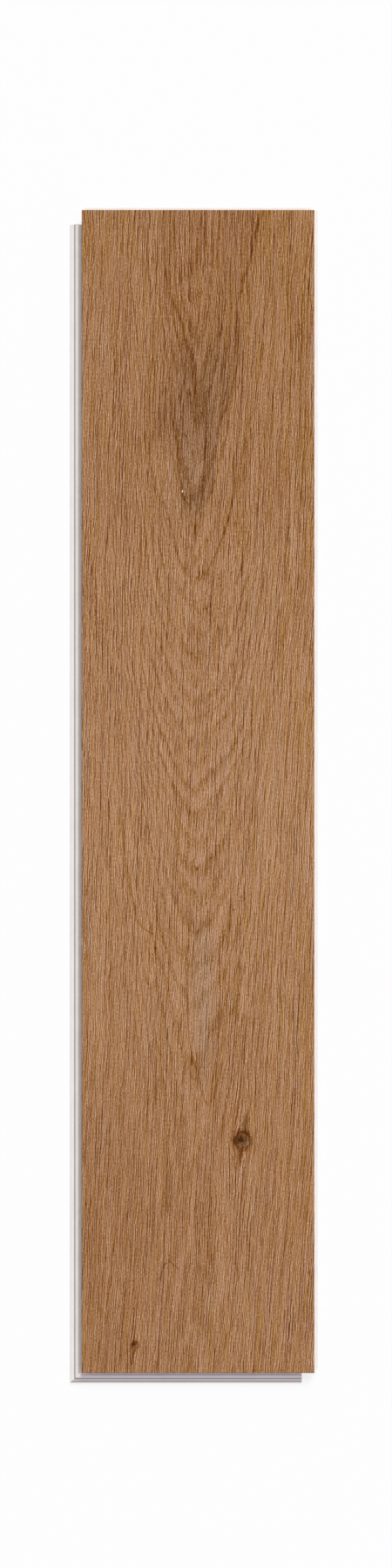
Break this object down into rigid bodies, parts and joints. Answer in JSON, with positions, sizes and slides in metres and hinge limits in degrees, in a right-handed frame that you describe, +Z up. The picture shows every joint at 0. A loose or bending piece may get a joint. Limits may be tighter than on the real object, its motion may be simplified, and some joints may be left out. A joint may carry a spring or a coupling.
{
  "type": "herringbone vinyl plank",
  "caption": "Flat rigid vinyl floor plank for herringbone laying, with an oak-look printed face and a grey core milled to a click joint: groove and locking lip opposite tongue.",
  "frame": {"origin": "on the flat underside, below the middle of the printed face", "axes": "+Z up, out of the printed face; +Y along the plank's length, towards its short tongue edge; +X across its width, towards its long tongue edge"},
  "size_m": [0.1281, 0.6081, 0.005],
  "materials": {
    "grey_core": "matte",
    "oak_decor": "matte"
  },
  "bodies": {
    "root": {"core_board": "grey_core", "decor_layer": "oak_decor"}
  },
  "joints": []
}
